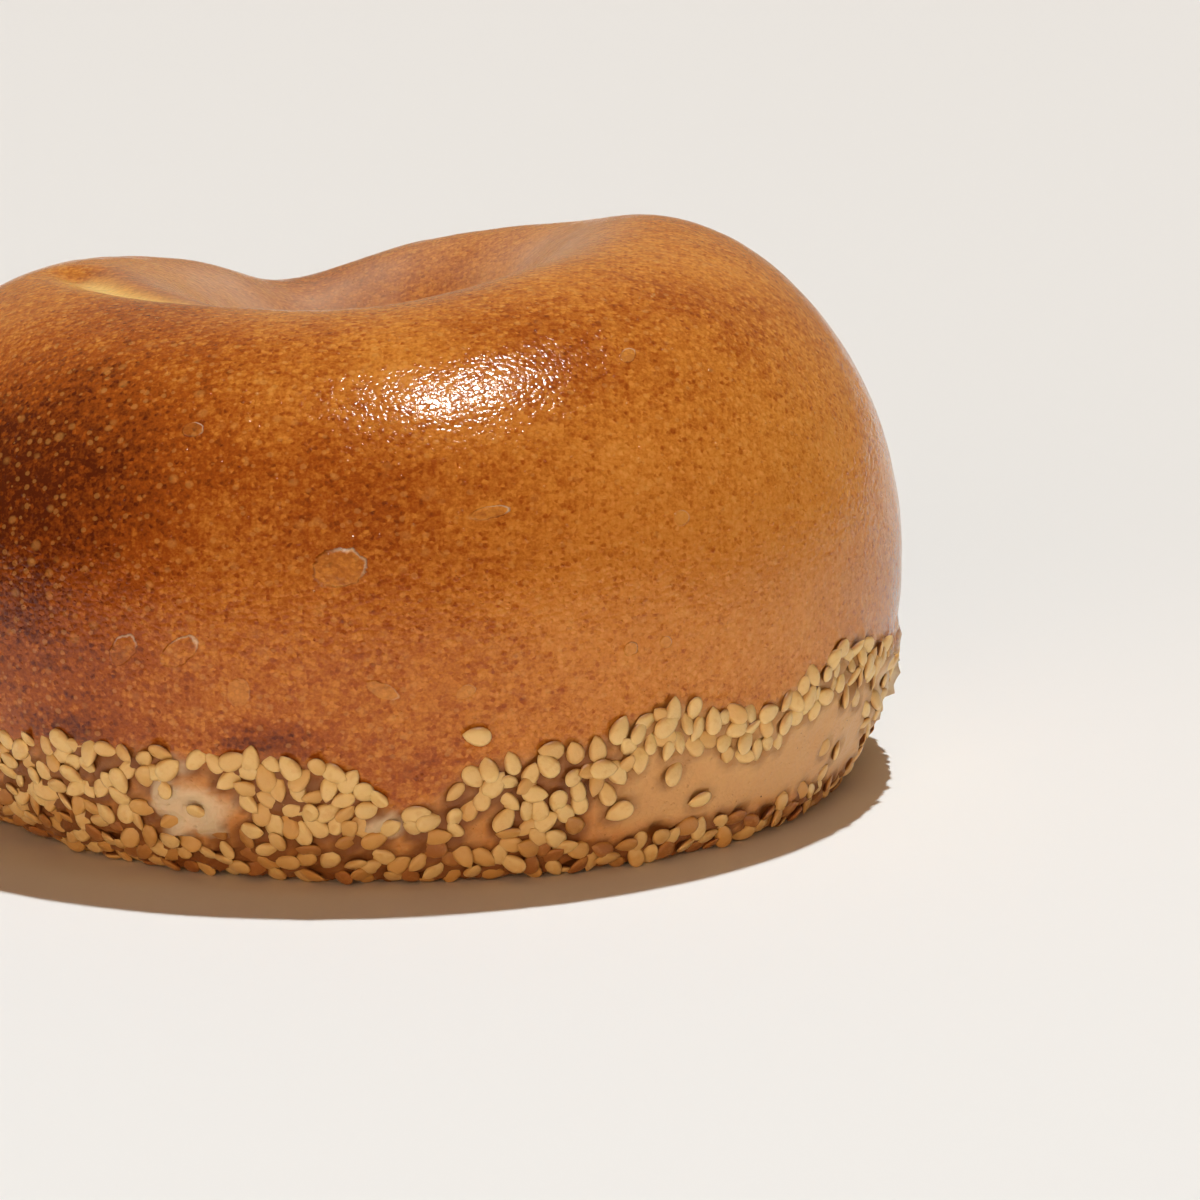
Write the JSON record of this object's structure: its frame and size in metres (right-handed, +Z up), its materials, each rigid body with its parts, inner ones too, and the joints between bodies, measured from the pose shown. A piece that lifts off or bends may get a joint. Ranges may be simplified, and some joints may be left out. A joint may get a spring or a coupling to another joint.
{
  "type": "sesame bagel",
  "caption": "Puffy glossy-crusted sesame bagel with a small funnelled hole, a sloping saddle on top and a belt of sesame seeds round its flat base.",
  "frame": {"origin": "centre of the bounding box's bottom face, on the surface that the bagel stands on", "axes": "+Z up from the flat base, -Y towards the well-browned front, +X towards the tallest side of the ring"},
  "size_m": [0.119, 0.1186, 0.0615],
  "materials": {
    "crust": "glossy egg-washed bread crust, red-brown to golden, finely blistered",
    "sesame": "toasted cream sesame seed skin, satin"
  },
  "bodies": {
    "root": {"bread": "crust", "sesame_seed_01": "sesame", "sesame_seed_02": "sesame", "sesame_seed_03": "sesame", "sesame_seed_04": "sesame", "sesame_seed_05": "sesame", "sesame_seed_06": "sesame", "sesame_seed_07": "sesame", "sesame_seed_08": "sesame", "sesame_seed_09": "sesame", "sesame_seed_10": "sesame", "sesame_seed_11": "sesame", "sesame_seed_12": "sesame", "sesame_seed_13": "sesame", "sesame_seed_14": "sesame", "sesame_seed_15": "sesame", "sesame_seed_16": "sesame", "sesame_seed_17": "sesame", "sesame_seed_18": "sesame", "sesame_seed_19": "sesame", "sesame_seed_20": "sesame", "sesame_seed_21": "sesame", "sesame_seed_22": "sesame", "sesame_seed_23": "sesame", "sesame_seed_24": "sesame", "sesame_seed_25": "sesame", "sesame_seed_26": "sesame", "sesame_seed_27": "sesame", "sesame_seed_28": "sesame", "sesame_seed_29": "sesame", "sesame_seed_30": "sesame", "sesame_seed_31": "sesame", "sesame_seed_32": "sesame", "sesame_seed_33": "sesame", "sesame_seed_34": "sesame", "sesame_seed_35": "sesame", "sesame_seed_36": "sesame", "sesame_seed_37": "sesame", "sesame_seed_38": "sesame", "sesame_seed_39": "sesame", "sesame_seed_40": "sesame", "sesame_seed_41": "sesame", "sesame_seed_42": "sesame", "sesame_seed_43": "sesame", "sesame_seed_44": "sesame", "sesame_seed_45": "sesame", "sesame_seed_46": "sesame", "sesame_seed_47": "sesame", "sesame_seed_48": "sesame", "sesame_seed_49": "sesame", "sesame_seed_50": "sesame", "sesame_seed_51": "sesame", "sesame_seed_52": "sesame", "sesame_seed_53": "sesame", "sesame_seed_54": "sesame", "sesame_seed_55": "sesame", "sesame_seed_56": "sesame", "sesame_seed_57": "sesame", "sesame_seed_58": "sesame", "sesame_seed_59": "sesame"}
  },
  "joints": []
}
